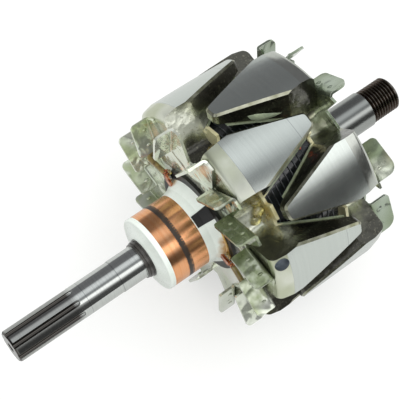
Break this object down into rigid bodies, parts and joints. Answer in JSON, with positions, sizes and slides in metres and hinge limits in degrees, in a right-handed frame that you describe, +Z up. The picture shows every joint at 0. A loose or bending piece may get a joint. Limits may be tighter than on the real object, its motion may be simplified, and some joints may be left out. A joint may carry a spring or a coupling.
{
  "type": "alternator rotor",
  "caption": "Claw-pole rotor of a car alternator: splined and threaded shaft, interleaved steel claws round a wound coil, copper slip rings and two pressed fans.",
  "frame": {"origin": "on the shaft's axis, where the seat of the drive-end bearing starts, 0.3 mm from the spacer's face", "axes": "+X along the shaft towards the threaded drive end, +Z up with the rotor lying on its claws"},
  "size_m": [0.203, 0.1042, 0.1042],
  "materials": {
    "ground_steel": "ground and polished steel",
    "plated_pole": "forged steel, claws ground on their outside, the rest zinc plated and varnished",
    "core_steel": "turned steel",
    "plated_sheet": "pressed steel sheet, zinc plated with a yellow-green passivation",
    "copper_ring": "turned copper",
    "copper_wire": "enamelled copper wire",
    "solder": "tin solder",
    "white_moulding": "glossy white moulded resin",
    "grey_moulding": "dark grey moulded resin",
    "black_insulation": "black pressed insulation",
    "cream_bobbin": "cream moulded nylon, varnished",
    "sleeve": "varnished glass-fibre sleeving"
  },
  "bodies": {
    "root": {"shaft": "ground_steel", "pole_slip_end": "plated_pole", "pole_drive_end": "plated_pole", "pole_core": "core_steel", "coil_bobbin": "cream_bobbin", "field_coil": "copper_wire", "coil_wrap": "black_insulation", "slip_ring_hub": "white_moulding", "hub_bush": "grey_moulding", "slip_ring_outer": "copper_ring", "ring_separator": "grey_moulding", "slip_ring_inner": "copper_ring", "insulating_collar": "black_insulation", "ring_terminal_a": "copper_wire", "ring_terminal_b": "copper_wire", "coil_lead_a": "copper_wire", "coil_lead_b": "copper_wire", "lead_sleeve_a": "sleeve", "lead_sleeve_b": "sleeve", "solder_joint_a": "solder", "solder_joint_b": "solder", "fan_slip_end": "plated_sheet", "fan_drive_end": "plated_sheet", "drive_spacer": "ground_steel"}
  },
  "joints": []
}
